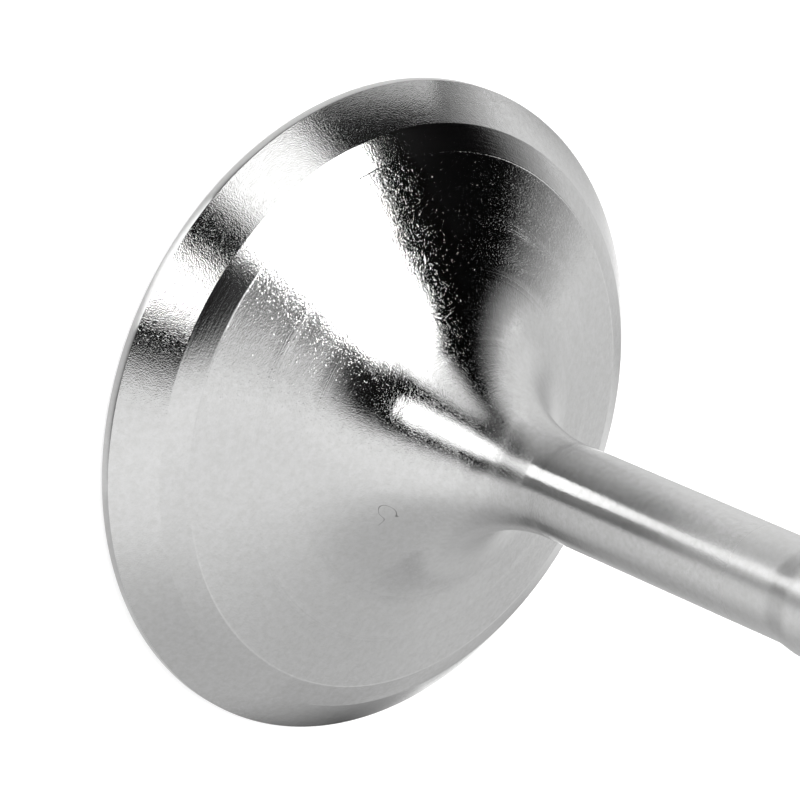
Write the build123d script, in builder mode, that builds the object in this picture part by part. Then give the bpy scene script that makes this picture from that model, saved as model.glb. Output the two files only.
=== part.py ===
"""Intake valve of a four-valve car engine, with an undercut stem, turned from one forging.

Frame: millimetres, +Z along the stem. The origin is the centre of the flat combustion face, so the
valve stands on its head with its stem up, as it does on a bench.
"""

from build123d import *
from math import radians, tan
import os

# ---------------------------------------------------------------- driving dimensions, millimetres
overall_length = 109.0  # combustion face to tip
head_diameter = 35.0
margin_height = 0.61  # upright band round the rim, between combustion face and seat face
face_corner_break = 0.12  # chamfer that takes the burr off the rim's lower corner

seat_angle = 45.0  # of the ground seat face, from the head's plane
seat_width = 1.82  # across the seat face, measured square to the axis
back_cut_angle = 30.0  # of the narrow relief above the seat face
back_cut_width = 1.26
underhead_angle = 21.5  # of the cone that the port flow turns on
neck_radius = 11.0  # sweep between that cone and the stem

stem_diameter = 5.475  # ground part, runs in the guide
undercut_depth = 0.22  # how far the slimmed part, in the port, lies below the ground part
undercut_end = 31.7  # height where the stem begins to grow to its full size
shoulder_angle = 10.0  # of the step between the two parts of the stem, from the axis
shoulder_radius = 3.0  # blends both ends of that step

groove_from_tip = 3.9  # centre of the keeper groove, below the tip
groove_radius = 0.75  # of the round-nosed tool that turns the groove
groove_depth = 0.5
tip_chamfer = 0.45

# ---------------------------------------------------------------- derived sizes
head_radius = head_diameter / 2
stem_radius = stem_diameter / 2
undercut_radius = stem_radius - undercut_depth

seat_inner_radius = head_radius - seat_width
seat_top = margin_height + seat_width * tan(radians(seat_angle))
back_cut_inner_radius = seat_inner_radius - back_cut_width
back_cut_top = seat_top + back_cut_width * tan(radians(back_cut_angle))
underhead_run = back_cut_inner_radius - undercut_radius
neck_height = back_cut_top + underhead_run * tan(radians(underhead_angle))
shoulder_end = undercut_end + undercut_depth / tan(radians(shoulder_angle))
groove_height = overall_length - groove_from_tip
groove_tool_centre = stem_radius - groove_depth + groove_radius

# corners of the turned section that get a radius
neck_corner = (undercut_radius, neck_height)
shoulder_foot = (undercut_radius, undercut_end)
shoulder_crown = (stem_radius, shoulder_end)

# ---------------------------------------------------------------- valve
with BuildPart() as valve:
    # half section, radius across and height up, turned about the stem's axis
    with BuildSketch(Plane.XZ) as section:
        with BuildLine():
            Polyline(
                (0, 0),
                (head_radius - face_corner_break, 0),
                (head_radius, face_corner_break),
                (head_radius, margin_height),
                (seat_inner_radius, seat_top),
                (back_cut_inner_radius, back_cut_top),
                neck_corner,
                shoulder_foot,
                shoulder_crown,
                (stem_radius, overall_length),
                (0, overall_length),
                close=True,
            )
        make_face()
        fillet(section.vertices().sort_by_distance(neck_corner)[0], neck_radius)
        fillet(section.vertices().sort_by_distance(shoulder_foot)[0], shoulder_radius)
        fillet(section.vertices().sort_by_distance(shoulder_crown)[0], shoulder_radius)
    revolve(axis=Axis.Z)

    # keeper groove, which the two collets of the spring retainer grip
    with BuildSketch(Plane.XZ):
        with Locations((groove_tool_centre, groove_height)):
            Circle(groove_radius)
    revolve(axis=Axis.Z, mode=Mode.SUBTRACT)

    # lead-in round the tip, so that the valve passes its guide and stem seal
    tip_face = valve.faces().sort_by(Axis.Z)[-1]
    chamfer(tip_face.edges(), tip_chamfer)

valve.part.label = "valve"

os.makedirs("parts", exist_ok=True)
export_step(valve.part, "parts/valve.step")
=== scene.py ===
# %% [markdown]
# # An intake valve, from bar and forging to a finished part
#
# An engine's intake valve is a plug on a rod. The wide head closes the port, the slim stem slides
# in a guide, and a spring pulls the valve shut through two half-round keepers that sit in a groove
# near the tip. It is one piece of heat-resisting stainless steel. A forging gives the trumpet
# shape, a lathe cuts the head, and grinding wheels finish the seat and the stem.
#
# The lesson follows the same order. First the half section is drawn and spun, as a lathe would cut
# it. Then each surface gets the finish that its tool leaves: turned, ground, faced or drawn
# smooth. Last comes a small studio, because a bright metal looks like whatever stands around it.

# %% Load the solid model of the valve as a fixed frame
from math import atan2, cos, pi, radians, sin, sqrt, tan

import bmesh
import bpy
from mathutils import Matrix, Vector


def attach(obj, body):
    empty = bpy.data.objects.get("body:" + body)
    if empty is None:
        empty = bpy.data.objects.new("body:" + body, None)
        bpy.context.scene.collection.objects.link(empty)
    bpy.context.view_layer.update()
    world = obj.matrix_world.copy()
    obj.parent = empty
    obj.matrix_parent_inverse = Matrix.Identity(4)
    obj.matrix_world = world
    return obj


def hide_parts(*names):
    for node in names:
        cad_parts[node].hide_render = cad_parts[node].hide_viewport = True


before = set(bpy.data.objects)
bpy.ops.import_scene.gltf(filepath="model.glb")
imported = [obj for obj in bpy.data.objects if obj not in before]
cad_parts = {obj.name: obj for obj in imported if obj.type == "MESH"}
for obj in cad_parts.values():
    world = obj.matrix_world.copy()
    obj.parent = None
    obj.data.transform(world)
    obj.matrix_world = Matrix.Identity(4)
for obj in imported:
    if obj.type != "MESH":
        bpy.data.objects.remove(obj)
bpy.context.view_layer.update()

MM = 0.001

# %% [markdown]
# ## The half section
#
# A turned part is fully described by half of its outline. The drawing lies in the XZ plane: X is
# the distance from the axis and Z is the height above the flat combustion face, because the valve
# stands on its head. The outline is drawn as a chain of edges, one corner at a time. Extruding a
# single vertex draws a straight line, and spinning it about a point draws an arc, so every corner
# comes from a size on the workshop drawing.

# %% A pen that draws straight lines and arcs
section = bmesh.new()


def line_to(corner, radius, height):
    """Draw a straight line from a corner to a radius and height in millimetres."""
    end = bmesh.ops.extrude_vert_indiv(section, verts=[corner])["verts"][0]
    end.co = (radius * MM, 0, height * MM)
    return end


def arc_about(corner, radius, height, angle, steps):
    """Swing a corner through an angle about a centre given in millimetres."""
    centre = (radius * MM, 0, height * MM)
    made = bmesh.ops.spin(
        section, geom=[corner], cent=centre, axis=(0, 1, 0), angle=angle, steps=steps
    )
    return next(part for part in made["geom_last"] if isinstance(part, bmesh.types.BMVert))


# %% [markdown]
# ## The head
#
# From the flat face outwards the head has four bands. The margin is the short cylinder at the
# rim, which keeps the edge from burning. The seat is the 45 degree cone that seals against the
# ring in the cylinder head. Above it a 30 degree back-cut lets the mixture turn the corner, and
# then the underhead runs up to the neck as a shallow cone.

# %% Draw the flat face, the margin, the seat and the back-cut
HEAD_RADIUS = 17.5
CORNER_BREAK = 0.12
MARGIN_HEIGHT = 0.61
SEAT_WIDTH = 1.82
SEAT_ANGLE = radians(45)
BACK_CUT_WIDTH = 1.26
BACK_CUT_ANGLE = radians(30)

seat_inner_radius = HEAD_RADIUS - SEAT_WIDTH
seat_top = MARGIN_HEIGHT + SEAT_WIDTH * tan(SEAT_ANGLE)
back_cut_inner_radius = seat_inner_radius - BACK_CUT_WIDTH
back_cut_top = seat_top + BACK_CUT_WIDTH * tan(BACK_CUT_ANGLE)

pen = section.verts.new((0, 0, 0))
pen = line_to(pen, HEAD_RADIUS - CORNER_BREAK, 0)
pen = line_to(pen, HEAD_RADIUS, CORNER_BREAK)
pen = line_to(pen, HEAD_RADIUS, MARGIN_HEIGHT)
pen = line_to(pen, seat_inner_radius, seat_top)
pen = line_to(pen, back_cut_inner_radius, back_cut_top)
print("seat from radius", HEAD_RADIUS, "to", seat_inner_radius, "and up to", round(seat_top, 3))

# %% [markdown]
# ## The neck and the undercut stem
#
# A large radius sweeps the underhead into the stem, so that the flow stays attached and the load
# has no sharp corner to crack from. The stem just above the neck is ground a little thinner than
# the part that runs in the guide. The two diameters meet in a soft shoulder with an arc at its
# foot and another at its crown.
#
# The centre of the neck arc is worked out, not guessed. It lies one neck radius outside the
# undercut stem, at the height where the arc just touches the underhead cone.

# %% Draw the underhead cone, the neck and the shoulder
STEM_RADIUS = 5.475 / 2
UNDERCUT_DEPTH = 0.22
UNDERCUT_END = 31.7
UNDERHEAD_ANGLE = radians(21.5)
NECK_RADIUS = 11.0
NECK_STEPS = 64
SHOULDER_ANGLE = radians(10)
SHOULDER_RADIUS = 3.0
SHOULDER_STEPS = 6

undercut_radius = STEM_RADIUS - UNDERCUT_DEPTH
neck_centre_radius = undercut_radius + NECK_RADIUS
reach = (neck_centre_radius - back_cut_inner_radius) * sin(UNDERHEAD_ANGLE)
neck_centre_height = back_cut_top + (NECK_RADIUS - reach) / cos(UNDERHEAD_ANGLE)
neck_foot_radius = neck_centre_radius - NECK_RADIUS * sin(UNDERHEAD_ANGLE)
neck_foot_height = neck_centre_height - NECK_RADIUS * cos(UNDERHEAD_ANGLE)
pen = line_to(pen, neck_foot_radius, neck_foot_height)
pen = arc_about(pen, neck_centre_radius, neck_centre_height, pi / 2 - UNDERHEAD_ANGLE, NECK_STEPS)

arc_run = SHOULDER_RADIUS * tan(SHOULDER_ANGLE / 2)
shoulder_end = UNDERCUT_END + UNDERCUT_DEPTH / tan(SHOULDER_ANGLE)
foot_height = UNDERCUT_END - arc_run
crown_radius = STEM_RADIUS - arc_run * sin(SHOULDER_ANGLE)
crown_height = shoulder_end - arc_run * cos(SHOULDER_ANGLE)
crown_centre = STEM_RADIUS - SHOULDER_RADIUS, shoulder_end + arc_run
pen = line_to(pen, undercut_radius, foot_height)
pen = arc_about(pen, undercut_radius + SHOULDER_RADIUS, foot_height, SHOULDER_ANGLE, SHOULDER_STEPS)
pen = line_to(pen, crown_radius, crown_height)
pen = arc_about(pen, *crown_centre, -SHOULDER_ANGLE, SHOULDER_STEPS)
print("neck centre", round(neck_centre_radius, 3), round(neck_centre_height, 3))
print("shoulder from", UNDERCUT_END, "to", round(shoulder_end, 3))

# %% [markdown]
# ## The keeper groove and the tip
#
# The keepers grip a round-bottomed groove a few millimetres below the tip. A form tool of 0.75 mm
# radius is fed in half a millimetre, so the groove is less than half a circle: the angle that it
# sweeps follows from where the circle crosses the stem. The tip is ground flat, and its edge has a
# small chamfer so that it enters the guide without scoring it.

# %% Draw the groove and the tip
OVERALL_LENGTH = 109.0
GROOVE_HEIGHT = OVERALL_LENGTH - 3.9
GROOVE_RADIUS = 0.75
GROOVE_DEPTH = 0.5
GROOVE_STEPS = 16
TIP_CHAMFER = 0.45

tool_radius = STEM_RADIUS - GROOVE_DEPTH + GROOVE_RADIUS
groove_half_width = sqrt(GROOVE_RADIUS**2 - (tool_radius - STEM_RADIUS) ** 2)
groove_sweep = 2 * atan2(groove_half_width, tool_radius - STEM_RADIUS)
pen = line_to(pen, STEM_RADIUS, GROOVE_HEIGHT - groove_half_width)
pen = arc_about(pen, tool_radius, GROOVE_HEIGHT, groove_sweep, GROOVE_STEPS)
pen = line_to(pen, STEM_RADIUS, OVERALL_LENGTH - TIP_CHAMFER)
pen = line_to(pen, STEM_RADIUS - TIP_CHAMFER, OVERALL_LENGTH)
pen = line_to(pen, 0, OVERALL_LENGTH)
print("half section:", len(section.verts), "corners")

# %% [markdown]
# ## Turning the section into a solid
#
# One full spin about the axis makes the skin. The first and last copies of the outline meet, so
# the spin merges them, and a second merge closes the two poles on the axis. After that the
# outward side is worked out afresh, because a spin can turn a skin inside out. With 512 steps a
# step at the rim is 0.2 mm, which is finer than the eye can find on the outline.

# %% Spin the half section about the stem axis
TURN_STEPS = 512
MERGE_GAP = 0.0001

bmesh.ops.spin(
    section, geom=section.verts[:] + section.edges[:], cent=(0, 0, 0), axis=(0, 0, 1),
    angle=2 * pi, steps=TURN_STEPS, use_merge=True,
)
bmesh.ops.remove_doubles(section, verts=section.verts[:], dist=MERGE_GAP * MM)
bmesh.ops.recalc_face_normals(section, faces=section.faces[:])
closed = all(edge.is_manifold for edge in section.edges)
print("skin:", len(section.faces), "faces,", "closed" if closed else "open")

# %% [markdown]
# ## Easing the edges
#
# No machined edge is perfectly sharp. Deburring leaves a width of a few hundredths of a
# millimetre that catches the light as a thin bright line, and that line is what tells the eye
# where one band ends and the next begins. Every ring where two bands meet at more than 5 degrees
# is bevelled by that small width. A ring is an edge whose two ends lie at one height, and those
# close to the axis belong to the flat discs, so they are left out.

# %% Bevel the ring edges
EDGE_BREAK = 0.03
LEAST_CORNER = radians(5)
LEVEL_WITHIN = 0.001
LEAST_RING = 1.2

rings = [edge for edge in section.edges if edge.calc_face_angle(0) > LEAST_CORNER]
rings = [edge for edge in rings if abs(edge.verts[0].co.z - edge.verts[1].co.z) < LEVEL_WITHIN * MM]
rings = [edge for edge in rings if min(v.co.xy.length for v in edge.verts) > LEAST_RING * MM]
bmesh.ops.bevel(
    section, geom=rings, offset=EDGE_BREAK * MM, offset_type="OFFSET", segments=2, profile=0.5,
    affect="EDGES", material=-1, clamp_overlap=True,
)
for face in section.faces:
    face.smooth = True
triangles = sum(len(face.verts) - 2 for face in section.faces)
print("eased", len(rings) // TURN_STEPS, "rings;", triangles, "triangles")

# %% [markdown]
# ## The finished mesh
#
# The mesh becomes an object that stays at the origin, so that its own coordinates are the same
# millimetres as on the drawing. It rides on the valve's body and takes the place of the plain
# solid. Smooth shading alone would smear light round the eased corners, so the flat faces weigh
# more than the narrow bevels when the normals are blended.

# %% Make the object and tie it to the frame
valve_mesh = bpy.data.meshes.new("turned_valve")
section.to_mesh(valve_mesh)
section.free()
turned_valve = bpy.data.objects.new("turned_valve", valve_mesh)
bpy.context.scene.collection.objects.link(turned_valve)
flat_first = turned_valve.modifiers.new("flat faces first", "WEIGHTED_NORMAL")
flat_first.keep_sharp = True

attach(turned_valve, "root")
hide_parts("valve")
print("the visible valve has", len(valve_mesh.polygons), "faces")

# %% [markdown]
# ## Helpers for the finishes
#
# A colour picker shows sRGB values, and a shader wants linear ones, so one function turns the
# first into the second. A second function adds a node: its settings by name, then its inputs,
# each either a value or a link from another node. An input that has no name of its own is given
# by its number, such as i0.

# %% One function for colours and one for nodes
def colour(sheet_value):
    """Turn an sRGB hex value into the linear colour that a shader wants."""
    shares = [int(sheet_value[at:at + 2], 16) / 255 for at in (1, 3, 5)]
    return [s / 12.92 if s <= 0.04045 else ((s + 0.055) / 1.055) ** 2.4 for s in shares] + [1]


def add(tree, kind, settings=None, **inputs):
    """Add a node with its settings, and fill or link its inputs."""
    node = tree.nodes.new(kind)
    for name, value in (settings or {}).items():
        setattr(node, name, value)
    for name, value in inputs.items():
        by_number = name[0] == "i" and name[1:].isdigit()
        socket = node.inputs[int(name[1:]) if by_number else name.replace("_", " ")]
        if isinstance(value, bpy.types.NodeSocket):
            tree.links.new(value, socket)
        else:
            socket.default_value = value
    return node


print("mid grey in linear light:", [round(channel, 3) for channel in colour("#808080")])

# %% [markdown]
# ## Where a point lies on a turned part
#
# Every tool mark on a turned part runs round the axis. So a finish needs three things for each
# point: its distance from the axis, its height, and its heading round the stem. The heading is
# kept as a direction of length one and not as an angle, because an angle jumps from one end to
# the other somewhere and would leave a seam down the metal.

# %% Radius, height and heading in millimetres
def lathe_place(tree):
    """Give the place in millimetres, the radius, the height and the heading round the stem."""
    own = add(tree, "ShaderNodeTexCoord").outputs["Object"]
    place = add(tree, "ShaderNodeVectorMath", {"operation": "SCALE"}, i0=own, Scale=1 / MM)
    place = place.outputs["Vector"]
    height = add(tree, "ShaderNodeSeparateXYZ", Vector=place).outputs["Z"]
    level = add(tree, "ShaderNodeVectorMath", {"operation": "MULTIPLY"}, i0=place, i1=(1, 1, 0))
    level = level.outputs["Vector"]
    radius = add(tree, "ShaderNodeVectorMath", {"operation": "LENGTH"}, i0=level).outputs["Value"]
    heading = add(tree, "ShaderNodeVectorMath", {"operation": "NORMALIZE"}, i0=level)
    return place, radius, height, heading.outputs["Vector"]


# %% [markdown]
# ## Marks that a tool leaves
#
# A cutting tip or a grinding belt leaves streaks: narrow across the feed and long round the axis.
# They are one noise, stretched along the heading. Its scale is one over the width of a streak, and
# the stretch is chosen so that a streak at the given radius has the given length. On the real part
# the finest marks are a few thousandths of a millimetre wide. Here they are drawn at 0.05 mm and
# more, which is about one pixel, because anything finer would be lost between the pixels.

# %% Streaks round the axis
def streaks(tree, lathe, width, length, at_radius, detail=1.5):
    """Noise from 0 to 1, drawn out round the axis; sizes in millimetres."""
    place, radius, height, heading = lathe
    stretch = at_radius * width / length
    around = add(tree, "ShaderNodeVectorMath", {"operation": "SCALE"}, i0=heading, Scale=stretch)
    outwards = add(tree, "ShaderNodeCombineXYZ", Z=radius)
    point = add(
        tree, "ShaderNodeVectorMath", {"operation": "ADD"},
        i0=around.outputs["Vector"], i1=outwards.outputs["Vector"],
    )
    noise = add(
        tree, "ShaderNodeTexNoise", {"noise_dimensions": "4D"}, Vector=point.outputs["Vector"],
        W=height, Scale=1 / width, Detail=detail, Roughness=0.6,
    )
    return noise.outputs["Fac"]


# %% [markdown]
# ## Specks and single rings
#
# Polished steel is never empty close up. Its grain stands out as tiny irregular specks, which are
# the peaks of a fine noise: everything below a threshold is cut off. Where a tool dwelt or
# chattered, it left a ring that is deeper than its neighbours. Such a ring is drawn by how near a
# point's radius is to that of the ring.

# %% Specks and rings
def specks(tree, lathe, width, length, at_radius, least):
    """The peaks of a fine noise, from 0 to 1; the part below least is left out."""
    noise = streaks(tree, lathe, width, length, at_radius, detail=1.0)
    peaks = add(
        tree, "ShaderNodeMapRange", {"interpolation_type": "SMOOTHSTEP"}, Value=noise,
        From_Min=least, From_Max=least + 0.2, To_Min=0.0, To_Max=1.0,
    )
    return peaks.outputs["Result"]


def ring(tree, lathe, at_radius, half_width):
    """1 at a radius and 0 beyond half a width on either side of it; sizes in millimetres."""
    off = add(tree, "ShaderNodeMath", {"operation": "SUBTRACT"}, i0=lathe[1], i1=at_radius)
    off = add(tree, "ShaderNodeMath", {"operation": "ABSOLUTE"}, i0=off.outputs["Value"])
    near = add(
        tree, "ShaderNodeMapRange", {"interpolation_type": "SMOOTHSTEP"}, Value=off.outputs["Value"],
        From_Min=0.0, From_Max=half_width, To_Min=1.0, To_Max=0.0,
    )
    return near.outputs["Result"]


def times(tree, *patterns):
    """Multiply patterns or numbers."""
    product = patterns[0]
    for pattern in patterns[1:]:
        product = add(tree, "ShaderNodeMath", {"operation": "MULTIPLY"}, i0=product, i1=pattern)
        product = product.outputs["Value"]
    return product


# %% [markdown]
# ## Marks that handling leaves
#
# A valve knocks against others in the bin. That leaves small dings, and short straight scratches
# that follow no direction of the tool. Both start from a Voronoi pattern, which scatters one seed
# in each cell. A ding is the near surroundings of a seed. A scratch is the same in a space that
# has been turned and squeezed, so that the round spot becomes a long thin one. Each cell has its own
# random colour: its red picks the share of seeds that is used, and its green says how deep each is.

# %% Dings and scratches
def dings(tree, lathe, spacing, radius, share, turn=(0, 0, 0), length=1.0):
    """Spots from 0 to 1 in a share of cells; length draws them out along the turned X axis."""
    turned = add(tree, "ShaderNodeMapping", Vector=lathe[0], Rotation=turn)
    squeezed = add(
        tree, "ShaderNodeVectorMath", {"operation": "MULTIPLY"},
        i0=turned.outputs["Vector"], i1=(1 / length, 1, 1),
    )
    cells = add(
        tree, "ShaderNodeTexVoronoi", {"feature": "F1"}, Vector=squeezed.outputs["Vector"],
        Scale=1 / spacing,
    )
    spot = add(
        tree, "ShaderNodeMapRange", Value=cells.outputs["Distance"],
        From_Min=0.0, From_Max=radius / spacing, To_Min=1.0, To_Max=0.0,
    )
    lots = add(tree, "ShaderNodeSeparateColor", Color=cells.outputs["Color"]).outputs
    used = add(tree, "ShaderNodeMath", {"operation": "LESS_THAN"}, i0=lots["Red"], i1=share)
    deep = add(
        tree, "ShaderNodeMath", {"operation": "MULTIPLY"}, i0=used.outputs["Value"], i1=lots["Green"]
    )
    only = add(
        tree, "ShaderNodeMath", {"operation": "MULTIPLY"},
        i0=spot.outputs["Result"], i1=deep.outputs["Value"],
    )
    return only.outputs["Value"]


# %% [markdown]
# ## A hair on the metal
#
# Oil on a stored part holds lint. A hair is a thin curled line, so it is drawn as a contour of a
# smooth noise: the points where the noise is close to one half. A ball round one point keeps only
# a short piece of that contour.

# %% A curled line inside a small ball
def hair(tree, lathe, centre, reach, curl, fineness):
    """A curled line from 0 to 1 within reach of a centre; sizes in millimetres."""
    noise = add(tree, "ShaderNodeTexNoise", Vector=lathe[0], Scale=1 / curl, Detail=0.0)
    from_half = add(tree, "ShaderNodeMath", {"operation": "SUBTRACT"}, i0=noise.outputs["Fac"], i1=0.5)
    apart = add(tree, "ShaderNodeMath", {"operation": "ABSOLUTE"}, i0=from_half.outputs["Value"])
    line = add(
        tree, "ShaderNodeMapRange", Value=apart.outputs["Value"],
        From_Min=0.0, From_Max=fineness, To_Min=1.0, To_Max=0.0,
    )
    away = add(tree, "ShaderNodeVectorMath", {"operation": "DISTANCE"}, i0=lathe[0], i1=centre)
    near = add(
        tree, "ShaderNodeMapRange", Value=away.outputs["Value"],
        From_Min=0.85 * reach, From_Max=reach, To_Min=1.0, To_Max=0.0,
    )
    piece = add(
        tree, "ShaderNodeMath", {"operation": "MULTIPLY"},
        i0=line.outputs["Result"], i1=near.outputs["Result"],
    )
    return piece.outputs["Value"]


# %% [markdown]
# ## Stainless valve steel, before its finish
#
# The metal is the same all over: a martensitic stainless steel with chromium and silicon. Bare
# and bright it returns a little under six tenths of the light, in a neutral grey. The finish only
# changes how sharply it does so. Marks that run round the axis spread a reflection across
# themselves, which is along the stem, so the shader's stretch is set against a tangent that runs
# round the axis.
#
# Three functions carry this. The first makes the metal and hands back its shader. The second adds
# up patterns, each with its height in millimetres, and bumps the surface by them. The third clouds
# the metal a little, as no surface is one even grey, and darkens it where dirt sits.

# %% The bare metal
BARE_STEEL = "#CACACA"
DULL_STEEL = "#C1C1C0"
CLOUD_SIZE = 0.35


def valve_steel(name, roughness, stretch):
    """Make a material with the bare metal and give its tree, its lathe places and its shader."""
    material = bpy.data.materials.new(name)
    material.use_nodes = True
    tree = material.node_tree
    tree.nodes.clear()
    round_axis = add(tree, "ShaderNodeTangent", {"direction_type": "RADIAL", "axis": "Z"})
    shader = add(
        tree, "ShaderNodeBsdfPrincipled", Base_Color=colour(BARE_STEEL), Metallic=1.0,
        Roughness=roughness, Anisotropic=stretch, Anisotropic_Rotation=0.25,
        Tangent=round_axis.outputs["Tangent"],
    )
    add(tree, "ShaderNodeOutputMaterial", Surface=shader.outputs["BSDF"])
    return material, tree, lathe_place(tree), shader


def give_relief(tree, shader, layers):
    """Add up pairs of a pattern and its height in millimetres, and bump the shader by the sum."""
    total = 0.0
    for pattern, tall in layers:
        layer = add(
            tree, "ShaderNodeMath", {"operation": "MULTIPLY_ADD"}, i0=pattern, i1=tall, i2=total
        )
        total = layer.outputs["Value"]
    relief = add(tree, "ShaderNodeBump", Strength=1.0, Distance=MM, Height=total)
    tree.links.new(relief.outputs["Normal"], shader.inputs["Normal"])
    return total


def give_tone(tree, lathe, shader, soiled, dark):
    """Cloud the metal a little, and darken it where a pattern is 1, for pits and hairs."""
    cloud = add(
        tree, "ShaderNodeTexNoise", Vector=lathe[0], Scale=1 / CLOUD_SIZE, Detail=3.0, Roughness=0.7
    )
    dulled = add(
        tree, "ShaderNodeMapRange", Value=cloud.outputs["Fac"],
        From_Min=0.35, From_Max=0.70, To_Min=0.0, To_Max=1.0,
    )
    bare = add(
        tree, "ShaderNodeMix", {"data_type": "RGBA"}, Factor=dulled.outputs["Result"],
        i6=colour(BARE_STEEL), i7=colour(DULL_STEEL),
    )
    tone = add(
        tree, "ShaderNodeMix", {"data_type": "RGBA"}, Factor=soiled, i6=bare.outputs[2], i7=colour(dark)
    )
    tree.links.new(tone.outputs[2], shader.inputs["Base Color"])


# %% [markdown]
# ## The polished underhead
#
# After turning, the underhead and the neck are brought to a shine with a fine belt. The eye gets
# an almost mirror-like sweep with four kinds of detail in it: short streaks of the belt, which
# fray the edge of every reflection, specks of the grain between them, longer faint rings from the
# lathe that show through and are scored deeper at a few radii, and sparse scratches that flash
# where the reflection around them is dark. The belt presses unevenly, so the streaks are deeper in
# some bands than in others. From just below the top of the neck to the shoulder the polish slowly
# gives way, so the roughness climbs with the height, and the stem material carries on with the
# same climb.

# %% Polished underhead
POLISHED = 0.10
POLISH_END = 14.5
SHOULDER_ROUGHNESS = 0.30
UNDERHEAD_MIDDLE = 9.0
SCORED_RINGS = (  # radius, half width and depth
    (14.42, 0.10, 0.0210),
    (11.35, 0.45, 0.0110),
    (8.70, 0.40, 0.0110),
    (5.60, 0.25, 0.0060),
)
LINT_PLACE = (4.7, -3.3, 7.4)


def roughen_upwards(tree, lathe, shader):
    """Let the finish grow duller from just below the top of the neck to the shoulder."""
    rougher = add(
        tree, "ShaderNodeMapRange", {"interpolation_type": "SMOOTHSTEP"}, Value=lathe[2],
        From_Min=POLISH_END, From_Max=shoulder_end, To_Min=POLISHED, To_Max=SHOULDER_ROUGHNESS,
    )
    tree.links.new(rougher.outputs["Result"], shader.inputs["Roughness"])


polished_underhead, tree, lathe, shader = valve_steel("polished valve steel, underhead", POLISHED, 0.5)
roughen_upwards(tree, lathe, shader)
bands = streaks(tree, lathe, width=1.3, length=60.0, at_radius=UNDERHEAD_MIDDLE, detail=1.0)
uneven = add(
    tree, "ShaderNodeMapRange", Value=bands, From_Min=0.35, From_Max=0.65, To_Min=0.7, To_Max=1.3
).outputs["Result"]
belt = streaks(tree, lathe, width=0.065, length=0.09, at_radius=UNDERHEAD_MIDDLE, detail=1.0)
grain = specks(tree, lathe, width=0.075, length=0.09, at_radius=UNDERHEAD_MIDDLE, least=0.57)
lathe_rings = streaks(tree, lathe, width=0.16, length=30.0, at_radius=UNDERHEAD_MIDDLE, detail=1.0)
scored = streaks(tree, lathe, width=0.09, length=9.0, at_radius=UNDERHEAD_MIDDLE, detail=1.0)
give_relief(tree, shader, [
    (times(tree, belt, uneven), 0.0055),
    (grain, 0.0028),
    (lathe_rings, 0.0025),
    *(
        (times(tree, scored, ring(tree, lathe, at_radius, half_width)), depth)
        for at_radius, half_width, depth in SCORED_RINGS
    ),
    (dings(tree, lathe, 0.20, 0.030, 0.6, turn=(0.0, 0.38, -0.05), length=24.0), -0.0045),
    (dings(tree, lathe, 0.20, 0.030, 0.5, turn=(0.0, 0.34, -0.35), length=20.0), -0.0045),
    (dings(tree, lathe, 0.21, 0.030, 0.4, turn=(0.25, 0.3, 1.9), length=14.0), -0.0040),
])
pits = dings(tree, lathe, spacing=2.4, radius=0.085, share=0.35)
lint = hair(tree, lathe, LINT_PLACE, reach=0.78, curl=0.9, fineness=0.014)
soiled = add(tree, "ShaderNodeMath", {"operation": "MAXIMUM"}, i0=pits, i1=lint).outputs["Value"]
soiled = add(tree, "ShaderNodeMath", {"operation": "MULTIPLY"}, i0=soiled, i1=0.75).outputs["Value"]
give_tone(tree, lathe, shader, soiled, "#303030")
print("underhead finish:", len(tree.nodes), "nodes, roughness", POLISHED, "to", SHOULDER_ROUGHNESS)

# %% [markdown]
# ## The ground seat
#
# A grinding wheel, not a polishing belt, finishes the seat, because it has to seal. Its grit
# bites deeper, so reflections are a little broader than on the underhead and their edges are
# mottled.

# %% Ground seat
SEAT_MIDDLE = 16.5

ground_seat, tree, lathe, shader = valve_steel("ground valve steel, seat", 0.13, 0.5)
grit = streaks(tree, lathe, width=0.05, length=0.055, at_radius=SEAT_MIDDLE, detail=0.0)
wheel = streaks(tree, lathe, width=0.45, length=1.0, at_radius=SEAT_MIDDLE, detail=1.0)
give_relief(tree, shader, [
    (grit, 0.0060),
    (wheel, 0.0030),
    (dings(tree, lathe, 0.22, 0.032, 0.3, turn=(0.3, 0.2, 0.9), length=12.0), -0.0035),
])
pits = dings(tree, lathe, spacing=1.6, radius=0.08, share=0.30)
give_tone(tree, lathe, shader, pits, "#3A3A3A")
print("seat finish:", len(tree.nodes), "nodes")

# %% [markdown]
# ## The turned margin and back-cut
#
# The margin and the back-cut are left as the lathe cut them. The marks are long rings, and the
# reflection stays clean along them.

# %% Turned margin and turned back-cut
BACK_CUT_MIDDLE = 15.0

turned_margin, tree, lathe, shader = valve_steel("turned valve steel, margin", 0.30, 0.5)
feed = streaks(tree, lathe, width=0.10, length=9.0, at_radius=HEAD_RADIUS, detail=1.0)
give_relief(tree, shader, [
    (feed, 0.0030),
    (dings(tree, lathe, spacing=0.9, radius=0.10, share=0.25), -0.0100),
])
give_tone(tree, lathe, shader, dings(tree, lathe, spacing=1.8, radius=0.09, share=0.25), "#4A4A4A")

turned_back_cut, tree, lathe, shader = valve_steel("turned valve steel, back-cut", 0.12, 0.5)
feed = streaks(tree, lathe, width=0.14, length=12.0, at_radius=BACK_CUT_MIDDLE, detail=1.0)
fine_feed = streaks(tree, lathe, width=0.13, length=0.9, at_radius=BACK_CUT_MIDDLE, detail=1.5)
give_relief(tree, shader, [
    (feed, 0.0045),
    (fine_feed, 0.0035),
    (streaks(tree, lathe, width=0.065, length=0.10, at_radius=BACK_CUT_MIDDLE, detail=1.0), 0.0050),
])
give_tone(tree, lathe, shader, dings(tree, lathe, spacing=2.0, radius=0.08, share=0.3), "#3A3A3A")
print("back-cut finish:", len(tree.nodes), "nodes")

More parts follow.
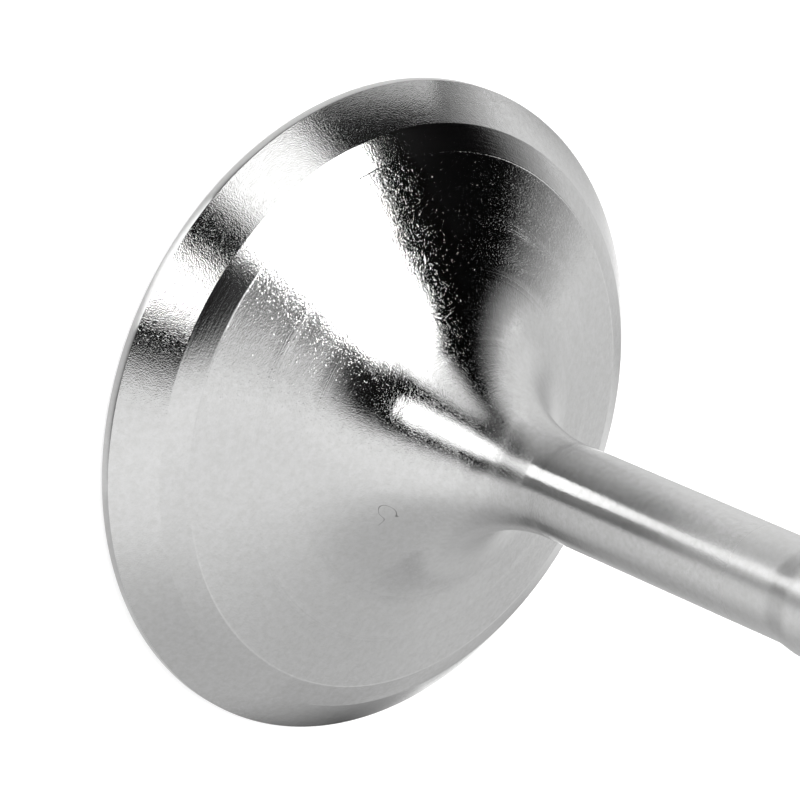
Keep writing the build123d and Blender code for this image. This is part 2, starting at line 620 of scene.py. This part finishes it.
# %% [markdown]
# ## The faced combustion face
#
# The flat underside was faced on the lathe from the rim inwards. The tool leaves fine rings all
# the way to the middle, which spread the light into the two fans that every faced disc shows.

# %% Faced combustion face
FACE_MIDDLE = 9.0

faced_face, tree, lathe, shader = valve_steel("faced valve steel, combustion face", 0.30, 0.7)
feed = streaks(tree, lathe, width=0.18, length=40.0, at_radius=FACE_MIDDLE, detail=2.0)
give_relief(tree, shader, [
    (feed, 0.0060),
    (dings(tree, lathe, spacing=0.8, radius=0.10, share=0.25), -0.0060),
])
give_tone(tree, lathe, shader, dings(tree, lathe, spacing=1.8, radius=0.09, share=0.3), "#4A4A4A")
print("combustion face finish:", len(tree.nodes), "nodes")

# %% [markdown]
# ## The ground stem
#
# The stem is ground between two wheels while it turns. Its marks are very fine and lie close
# together round the stem, so a reflection is drawn out along the stem into one soft line.

# %% Ground stem
ground_stem, tree, lathe, shader = valve_steel("centreless ground valve steel, stem", POLISHED, 0.5)
roughen_upwards(tree, lathe, shader)
grind = streaks(tree, lathe, width=0.065, length=0.10, at_radius=2.7, detail=1.0)
lines = streaks(tree, lathe, width=0.30, length=12.0, at_radius=2.7, detail=1.0)
give_relief(tree, shader, [
    (grind, 0.0045),
    (lines, 0.0030),
])
give_tone(tree, lathe, shader, dings(tree, lathe, spacing=1.5, radius=0.06, share=0.2), "#3A3A3A")
print("stem finish:", len(tree.nodes), "nodes")

# %% [markdown]
# ## The form-cut groove and the hardened tip
#
# The groove keeps coarser rings from its form tool. The tip is hardened and ground flat, and
# heat has taken a little of its brightness.

# %% Form-cut groove and ground tip
cut_groove, tree, lathe, shader = valve_steel("form-cut valve steel, keeper groove", 0.32, 0.5)
give_relief(tree, shader, [(streaks(tree, lathe, width=0.10, length=8.0, at_radius=2.4), 0.0060)])
give_tone(tree, lathe, shader, dings(tree, lathe, spacing=0.9, radius=0.07, share=0.2), "#4A4A4A")

ground_tip, tree, lathe, shader = valve_steel("hardened and ground valve steel, tip", 0.30, 0.3)
grit = dings(tree, lathe, 0.14, 0.05, 0.8, turn=(0, 0, 0.7), length=14.0)
give_relief(tree, shader, [(grit, -0.0025)])
shader.inputs["Base Color"].default_value = colour(DULL_STEEL)
print("tip finish:", len(tree.nodes), "nodes")

# %% [markdown]
# ## Each band gets its finish
#
# The bands of the mesh are told apart by the height and radius of the middle of each face, with
# the same sizes that drew the outline.

# %% Hand out the finishes
finishes = {
    "face": faced_face, "margin": turned_margin, "seat": ground_seat, "back-cut": turned_back_cut,
    "underhead": polished_underhead, "stem": ground_stem, "groove": cut_groove, "tip": ground_tip,
}


def band_of(radius, height):
    """Name the band that a point of the outline belongs to; sizes in millimetres."""
    if height < 0.5 * CORNER_BREAK:
        return "face"
    if height < MARGIN_HEIGHT and radius > HEAD_RADIUS - CORNER_BREAK:
        return "margin"
    if height < seat_top:
        return "seat"
    if height < back_cut_top:
        return "back-cut"
    if height < POLISH_END:
        return "underhead"
    if abs(height - GROOVE_HEIGHT) < groove_half_width:
        return "groove"
    return "tip" if height > OVERALL_LENGTH - TIP_CHAMFER else "stem"


for finish in finishes.values():
    valve_mesh.materials.append(finish)
order = list(finishes)
counts = dict.fromkeys(order, 0)
for face in valve_mesh.polygons:
    band = band_of(face.center.xy.length / MM, face.center.z / MM)
    face.material_index = order.index(band)
    counts[band] += 1
print("faces in each band:", counts)

# %% [markdown]
# ## The light table
#
# The valve stands on a pale sheet that is lit from within and still takes a soft shadow. Seen by
# the camera, in the metal and through glass, its own light makes it read as white. To everything
# else it is only pale paint, so it sends no extra light onto the part.

# %% The floor
FLOOR_SIZE = 3.0
PALE_PAINT = "#F2F2F2"
SHADED_PAINT = "#B8B8B8"
TABLE_LIGHT = 0.62

floor_shape = bmesh.new()
bmesh.ops.create_grid(floor_shape, x_segments=1, y_segments=1, size=FLOOR_SIZE)
floor_mesh = bpy.data.meshes.new("light_table")
floor_shape.to_mesh(floor_mesh)
floor_shape.free()
light_table = bpy.data.objects.new("light_table", floor_mesh)
bpy.context.scene.collection.objects.link(light_table)

table_material = bpy.data.materials.new("pale light table")
table_material.use_nodes = True
tree = table_material.node_tree
tree.nodes.clear()
ray = add(tree, "ShaderNodeLightPath").outputs
paint = add(tree, "ShaderNodeBsdfDiffuse", Color=colour(PALE_PAINT))
shaded = add(tree, "ShaderNodeBsdfDiffuse", Color=colour(SHADED_PAINT))
own_light = add(tree, "ShaderNodeEmission", Color=colour("#FFFFFF"), Strength=TABLE_LIGHT)
lit = add(tree, "ShaderNodeAddShader", i0=shaded.outputs["BSDF"], i1=own_light.outputs["Emission"])
seen = add(
    tree, "ShaderNodeMath", {"operation": "MAXIMUM"}, i0=ray["Is Camera Ray"], i1=ray["Is Glossy Ray"]
)
seen = add(
    tree, "ShaderNodeMath", {"operation": "MAXIMUM"},
    i0=seen.outputs["Value"], i1=ray["Is Transmission Ray"],
)
surface = add(
    tree, "ShaderNodeMixShader", i0=seen.outputs["Value"], i1=paint.outputs["BSDF"], i2=lit.outputs["Shader"]
)
add(tree, "ShaderNodeOutputMaterial", Surface=surface.outputs["Shader"])
floor_mesh.materials.append(table_material)
print("light table:", 2 * FLOOR_SIZE, "m square")

# %% [markdown]
# ## The room
#
# The room is one soft white light from all sides, a little dimmer behind the valve on its right,
# as it is in a corner. The dimmer side gives the metal a darker flank, so that the round shapes
# read as round.

# %% Room light
ROOM_BRIGHT = 1.12
ROOM_DIM = 0.68
DIM_SIDE = (122, 8)


def toward(azimuth, elevation):
    """A direction in degrees; azimuth 0 is the camera's side (-Y) and grows towards +X."""
    az, el = radians(azimuth), radians(elevation)
    return Vector((sin(az) * cos(el), -cos(az) * cos(el), sin(el)))


room = bpy.data.worlds.new("soft room")
bpy.context.scene.world = room
room.use_nodes = True
tree = room.node_tree
direction = add(tree, "ShaderNodeTexCoord").outputs["Generated"]
facing = add(
    tree, "ShaderNodeVectorMath", {"operation": "DOT_PRODUCT"}, i0=direction, i1=toward(*DIM_SIDE)
)
level = add(
    tree, "ShaderNodeMapRange", {"interpolation_type": "SMOOTHSTEP"}, Value=facing.outputs["Value"],
    From_Min=0.48, From_Max=0.97, To_Min=ROOM_BRIGHT, To_Max=ROOM_DIM,
)
tree.links.new(level.outputs["Result"], tree.nodes["Background"].inputs["Strength"])
tree.nodes["Background"].inputs["Color"].default_value = colour("#FFFFFF")
print("room from", ROOM_DIM, "to", ROOM_BRIGHT)

# %% [markdown]
# ## Sheets round the part
#
# A photographer of bright metal builds the picture out of its reflections: a softbox for the
# broad white, a strip light for the line down the stem, and black paper between them to draw the
# edges. Each sheet here is a few rows of corners joined into a surface. A row carries its own
# glow, so a sheet can run from black into light as a curved sheet of paper does. No sheet is lit:
# each only glows. On the softbox, the strip light and the screen that glow is lamp light, and on
# the paper, the walls, the card and the board it is painted light, which stands in for the light
# and shade that they would catch in the room. The sheets are hidden from the camera. Those that
# lie on the table are also hidden from its paint, or they would shade it.

# %% How a sheet is made
def hung(distance, *directions):
    """Corners in the given directions from the valve's head, at a distance in metres."""
    return [toward(*direction) * distance for direction in directions]


def lying(height, *spots):
    """Corners on the table: azimuth in degrees and distance from the stem axis in millimetres."""
    return [toward(azimuth, 0) * distance * MM + Vector((0, 0, height * MM)) for azimuth, distance in spots]


def sheet(name, rows, on_table=False):
    """Join rows of corners into a sheet; each row is its corners and its brightness."""
    shape = bmesh.new()
    bright = shape.verts.layers.float.new("brightness")
    before = []
    for corners, brightness in rows:
        row = [shape.verts.new(corner) for corner in corners]
        levels = brightness if isinstance(brightness, tuple) else (brightness,) * len(row)
        for corner, value in zip(row, levels):
            corner[bright] = value
        edges = [shape.edges.new(pair) for pair in zip(row, row[1:])]
        if before:
            bmesh.ops.bridge_loops(shape, edges=before + edges)
        before = edges
    mesh = bpy.data.meshes.new(name)
    shape.to_mesh(mesh)
    shape.free()
    material = bpy.data.materials.new(name)
    material.use_nodes = True
    tree = material.node_tree
    tree.nodes.clear()
    value = add(tree, "ShaderNodeAttribute", {"attribute_name": "brightness"}).outputs["Fac"]
    # The row brightness is given off as a glow: lamp light for the lights, painted light for paper, walls,
    # card and board.
    glow = add(tree, "ShaderNodeEmission", Color=colour("#FFFFFF"), Strength=value)
    add(tree, "ShaderNodeOutputMaterial", Surface=glow.outputs["Emission"])
    mesh.materials.append(material)
    thing = bpy.data.objects.new(name, mesh)
    bpy.context.scene.collection.objects.link(thing)
    thing.visible_camera = False
    thing.visible_diffuse = not on_table
    thing.visible_shadow = not on_table
    return thing


# %% [markdown]
# ## Softbox and strip light
#
# The softbox hangs over the left side and fills a wide wedge of the underhead with white. It is
# much brighter than white paper, because the grain of the polish sends only a little of its light
# astray, and that little has to show as specks in the black beside the wedge. The strip light
# stands in front and draws the line along the neck and the stem. It is brightest at its top, which
# is the part that the neck mirrors. A card on the table carries that line on down the stem, and
# it narrows to a waist where the line does. The card glows, up to the strip light's own level:
# that glow is painted light, which stands in for the strip light falling on the table in front.

# %% Lights
LIGHT_DISTANCE = 0.50
SOFTBOX_LEVEL = 9.0
STRIP_LEVEL = 3.0
STRIP_LEVELS = (6.5, 3.4, STRIP_LEVEL, STRIP_LEVEL, STRIP_LEVEL)

sheet("softbox", [
    (hung(LIGHT_DISTANCE, (-128, 72), (-170, 65), (-121, 58), (-96, 43.5), (-81, 39)), SOFTBOX_LEVEL),
    (hung(LIGHT_DISTANCE, (-77, 69.5), (-50, 63.5), (-51.5, 56), (-58, 47), (-68, 41.5)), SOFTBOX_LEVEL),
])
sheet("strip_light", [
    (hung(LIGHT_DISTANCE, (-19, 42), (-21, 34), (-22.5, 20), (-23, 8), (-22, -4)), STRIP_LEVELS),
    (hung(LIGHT_DISTANCE, (-3, 42), (0, 34), (1, 20), (2.5, 8), (3.5, -4)), STRIP_LEVELS),
])
CARD_HEIGHT = 0.06
# The card's glow is painted light, which stands in for the strip light falling on the table.
CARD_LEVELS = (0.90, 0.90, 2.0, 1.8, 1.6, 1.3, 1.15, 2.4, STRIP_LEVEL)
card_left = lying(
    CARD_HEIGHT, (-22, 17.5), (-22, 18), (-22, 18.3), (-23, 24), (-13, 28),
    (-24, 36), (-25, 44), (-22, 58), (-22, 700),
)
card_right = lying(
    CARD_HEIGHT, (4, 17.5), (4, 18), (3, 18.3), (2, 24), (-5, 28),
    (4, 36), (5, 44), (3, 58), (3, 700),
)
sheet("glowing_card_on_table", [(card_left, CARD_LEVELS), (card_right, CARD_LEVELS)], on_table=True)
print("softbox and strip light at", LIGHT_DISTANCE, "m")

# %% [markdown]
# ## Black paper
#
# One black sheet stands in front behind the strip light and leans over the top. A second one hangs
# behind the softbox on the left. Both run out into light at their far edge, so the metal shows
# one hard side and one soft side. That light is painted in as a glow on the paper, which stands in
# for the light that the paper catches.

# %% Hung black paper
PAPER_DISTANCE = 0.60
BLACK = 0.0

sheet("front_black_paper_and_painted_light", [
    (
        hung(PAPER_DISTANCE, (-128, 75), (-75, 73), (-38, 62), (-44, 47), (-41, 30), (-40, 12), (-48, -4)),
        (0.35, 0.05, BLACK, BLACK, BLACK, BLACK, BLACK),
    ),
    (
        hung(PAPER_DISTANCE, (-60, 87), (-2, 76), (9, 62), (13, 45), (17, 28), (15.5, 12), (18, -4)),
        (0.7, 0.35, BLACK, BLACK, BLACK, BLACK, BLACK),
    ),
    (hung(PAPER_DISTANCE, (90, 86), (30, 74), (24.5, 62), (23.5, 45), (22.5, 28), (25, 12), (29, -4)), 1.15),
    (hung(PAPER_DISTANCE, (100, 84), (45, 72), (42, 58), (44, 42), (46, 26), (48, 12), (50, -4)), 1.25),
    (hung(PAPER_DISTANCE, (120, 80), (80, 64), (74, 50), (74, 38), (74, 26), (74, 12), (74, -4)), 1.10),
])
sheet("left_black_paper_and_painted_light", [
    (hung(PAPER_DISTANCE, (-165, 64), (-122, 58), (-98, 44), (-78, 34), (-66, 12), (-57, -4)), BLACK),
    (hung(PAPER_DISTANCE, (-147, 29), (-134, 25), (-123, 20), (-110, 15), (-93, 8), (-77, -3)), BLACK),
    (
        hung(PAPER_DISTANCE, (-162, 26), (-157, 12), (-143, 7), (-132, 4), (-118, -1), (-105, -4)),
        (0.95, 0.92, 0.78, 0.66, 0.62, 0.62),
    ),
])
print("black paper at", PAPER_DISTANCE, "m")

# %% [markdown]
# ## Paper and painted light on the table
#
# Much of what shows in the metal is the table. The margin mirrors it right at the rim, the seat a
# hair further out, the stem a few millimetres on, and the neck from there to the far edge. So the
# paper lies in rings round the rim, and each ring has a brightness of its own in every direction.
# That brightness is a glow, painted light that stands in for how brightly the table is lit at each
# place, and it is black where black paper lies. Just outside the rim behind and to the right, it
# also holds the valve's own shadow on the table, painted in.
# These levels were chosen by eye, from one trial render to the next.
#
# Sometimes two surfaces want different things of one place: the neck is to mirror black where the
# stem, further up, is to mirror light. A low wall that stands on the table settles that. It is
# just high enough to hide the bright paper from the neck, and the stem looks over it.

# %% Paper and painted light on the table
PAPER_HEIGHT = 0.05
WALL_PLACE = 27
WALL_TOP = 5.8


def around(azimuths, distance, heights=PAPER_HEIGHT):
    """Corners at several azimuths in degrees, at one distance; a height for all, or one for each."""
    heights = heights if isinstance(heights, tuple) else (heights,) * len(azimuths)
    return [lying(height, (azimuth, distance))[0] for azimuth, height in zip(azimuths, heights)]


# The levels are painted light for the lit table, falling towards black where black paper lies.
LEFT = (-18, -34, -48, -62, -75, -88, -105)
sheet("left_table_paper_and_painted_light", [
    (around(LEFT, 17.5), (0.95, 0.98, 0.98, 0.98, 0.98, 0.98, 0.98)),
    (around(LEFT, 18), (0.95, 0.98, 0.98, 0.98, 0.98, 0.98, 0.98)),
    (around(LEFT, 18.3), (0.15, 0.20, 0.30, 0.40, 0.47, 0.53, 0.60)),
    (around(LEFT, 24), (0.25, 0.30, 0.40, 0.52, 0.62, 0.72, 0.80)),
    (around(LEFT, 31), (0.80, 0.85, 0.90, 0.92, 0.92, 0.95, 1.02)),
    (around(LEFT, 37), (1.30, 1.35, 1.35, 1.35, 1.30, 1.22, 1.15)),
    (around(LEFT, 47), (1.35, 1.40, 1.40, 1.35, 1.25, 1.12, 1.05)),
    (around(LEFT, 56), (0.10, 0.10, 0.10, 0.12, 0.45, 0.80, 0.98)),
    (around(LEFT, 700), (0.0, 0.0, 0.0, 0.0, 0.10, 0.40, 0.75)),
], on_table=True)
# The walls are dark paper whose far ends glow: painted light.
LEFT_WALL = (-18, -34, -48, -62, -75, -88)
LEFT_WALL_TOP = (WALL_TOP, WALL_TOP, WALL_TOP, 5.6, 5.0, 4.0)
sheet("left_low_wall_and_painted_light", [
    (around(LEFT_WALL, WALL_PLACE), (0.22, 0.28, 0.38, 0.50, 0.68, 0.80)),
    (around(LEFT_WALL, WALL_PLACE, 0.5 * WALL_TOP), (0.08, 0.10, 0.22, 0.42, 0.65, 0.82)),
    (around(LEFT_WALL, WALL_PLACE, LEFT_WALL_TOP), (0.03, 0.05, 0.10, 0.30, 0.60, 0.85)),
], on_table=True)

RIGHT = (0, 12, 22, 32)
sheet("right_table_paper_and_painted_light", [
    (around(RIGHT, 17.5), (0.80, 0.85, 0.95, 0.95)),
    (around(RIGHT, 18), (0.80, 0.85, 0.95, 0.95)),
    (around(RIGHT, 18.3), (0.30, 0.25, 0.18, 0.75)),
    (around(RIGHT, 24), (0.35, 0.28, 0.20, 0.80)),
    (around(RIGHT, 31), (0.80, 0.65, 0.55, 0.85)),
    (around(RIGHT, 37), (1.25, 1.00, 0.85, 0.95)),
    (around(RIGHT, 47), (1.30, 1.10, 0.95, 1.10)),
    (around(RIGHT, 56), (0.05, 0.05, 0.05, 1.05)),
    (around(RIGHT, 700), (0.0, 0.0, 0.0, 1.05)),
], on_table=True)
sheet("right_low_wall_and_painted_light", [
    (around(RIGHT, WALL_PLACE), (0.30, 0.22, 0.18, 0.80)),
    (around(RIGHT, WALL_PLACE, 0.5 * WALL_TOP), (0.05, 0.05, 0.05, 0.85)),
    (around(RIGHT, WALL_PLACE, WALL_TOP), (0.05, 0.03, 0.05, 0.92)),
], on_table=True)

BEHIND = (32, 55, 70, 83, 99, 117, 135, 152, 160, 172, 188, 202, 215, 230, 255)
# Just outside the rim behind and to the right, at 18 to 19 mm, the levels fall low: that is the valve's own
# shadow on the table, painted into the paper. Elsewhere the levels are painted light.
REAR_PAINTED_LIGHT_AND_SHADOW = {
    17.5: (0.92, 0.92, 0.90, 0.86, 0.85, 0.85, 0.90, 0.95, 0.95, 0.95, 0.95, 0.95, 0.95, 0.95, 0.95),
    17.9: (0.80, 0.78, 0.72, 0.60, 0.40, 0.40, 1.00, 1.00, 1.00, 1.00, 1.00, 1.00, 1.00, 0.98, 0.70),
    18.1: (0.75, 0.70, 0.62, 0.45, 0.14, 0.10, 1.40, 1.60, 1.60, 1.60, 1.60, 1.60, 1.50, 1.10, 0.55),
    18.6: (0.75, 0.72, 0.65, 0.50, 0.17, 0.11, 0.95, 1.25, 1.30, 1.35, 1.45, 1.40, 1.30, 1.02, 0.57),
    19.2: (0.76, 0.74, 0.68, 0.55, 0.22, 0.16, 0.50, 0.46, 0.38, 0.75, 0.88, 0.58, 0.78, 0.84, 0.56),
    24.0: (0.80, 0.80, 0.74, 0.62, 0.47, 0.45, 0.54, 0.62, 0.60, 0.95, 1.00, 0.64, 0.86, 0.92, 0.80),
    37.0: (0.93, 0.97, 0.84, 0.70, 0.58, 0.60, 0.65, 0.68, 0.66, 0.90, 0.92, 0.74, 1.00, 1.08, 1.12),
    45.0: (1.10, 1.10, 0.96, 0.80, 0.68, 0.70, 0.72, 0.72, 0.70, 0.85, 0.88, 0.80, 0.95, 1.00, 1.05),
    900.0: (1.05, 0.98, 0.82, 0.62, 0.48, 0.48, 0.50, 0.60, 0.70, 0.85, 0.90, 0.85, 0.85, 0.72, 0.75),
}
sheet("rear_table_paper_with_painted_light_and_shadow", [
    (around(BEHIND, distance), levels) for distance, levels in REAR_PAINTED_LIGHT_AND_SHADOW.items()
], on_table=True)
print("paper rings on the table:", len(REAR_PAINTED_LIGHT_AND_SHADOW), "behind, from", min(REAR_PAINTED_LIGHT_AND_SHADOW), "mm outwards")

# %% [markdown]
# ## Screen and board
#
# Between the front and the left black paper a gap is left open. A glowing screen stands behind it,
# bright at its top and dim at the table, and shows in the neck as a soft grey tongue. A grey board
# stands low behind the valve, because the underhead on the far side of the stem mirrors the
# horizon there and would otherwise go white. The board glows, darker towards the table and lighter
# towards its top: painted light that stands in for the room's light falling on it.

# %% Screen and board
BOARD_DISTANCE = 0.75
GLOW_ELEVATIONS = (44, 36, 28, 20, 11, 4, -4)
GLOW_LEVELS = (2.6, 2.1, 1.4, 1.12, 1.0, 0.65, 0.5)
sheet("glowing_screen", [
    (hung(BOARD_DISTANCE, *((azimuth, elevation) for elevation in GLOW_ELEVATIONS)), GLOW_LEVELS)
    for azimuth in (-96, -66, -34)
])
# The board's glow is painted light, darker at the table and lighter at its top.
sheet("grey_board_behind_with_painted_light", [
    (hung(BOARD_DISTANCE, (135, -1), (135, 4), (135, 10), (135, 18)), (0.45, 0.52, 0.58, 0.59)),
    (hung(BOARD_DISTANCE, (147, -1), (147, 4), (147, 10), (147, 18)), (0.48, 0.55, 0.63, 0.65)),
    (hung(BOARD_DISTANCE, (157, -1), (157, 4), (157, 10), (157, 18)), (0.52, 0.65, 0.75, 0.78)),
    (hung(BOARD_DISTANCE, (166, -1), (166, 4), (166, 10), (166, 18)), (0.60, 0.75, 0.82, 0.90)),
    (hung(BOARD_DISTANCE, (176, -1), (176, 4), (176, 10), (176, 18)), (0.74, 0.75, 0.85, 1.00)),
    (hung(BOARD_DISTANCE, (195, -1), (195, 4), (195, 10), (195, 18)), (0.85, 0.87, 0.90, 1.05)),
    (hung(BOARD_DISTANCE, (215, -1), (215, 4), (215, 10), (215, 18)), (0.85, 0.87, 0.90, 1.10)),
])

# %% [markdown]
# ## The camera
#
# The camera looks down on the head from above and is turned on its own axis, so the stem runs out
# of the frame to the lower right. Its place is given the way a photographer would set it: tilt
# the head of the tripod, roll it, and slide it until the valve sits in the frame. A long lens
# from close by keeps the shape with only a little perspective.

# %% Camera
CAMERA_TILT = radians(45.14)
CAMERA_ROLL = radians(90 + 23.38)
SLIDE = (1.601, 0.259, 234.57)
SENSOR_WIDTH = 36
LENS = 202.8

lens = bpy.data.cameras.new("camera")
lens.sensor_width = SENSOR_WIDTH
lens.lens = LENS
camera = bpy.data.objects.new("camera", lens)
aim = Matrix.Rotation(CAMERA_TILT, 4, "X") @ Matrix.Rotation(CAMERA_ROLL, 4, "Z")
camera.matrix_world = aim @ Matrix.Translation(Vector(SLIDE) * MM)
bpy.context.scene.collection.objects.link(camera)
bpy.context.scene.camera = camera
bpy.context.scene.view_settings.view_transform = "Standard"
print("camera at", [round(value / MM, 1) for value in camera.matrix_world.translation], "mm")
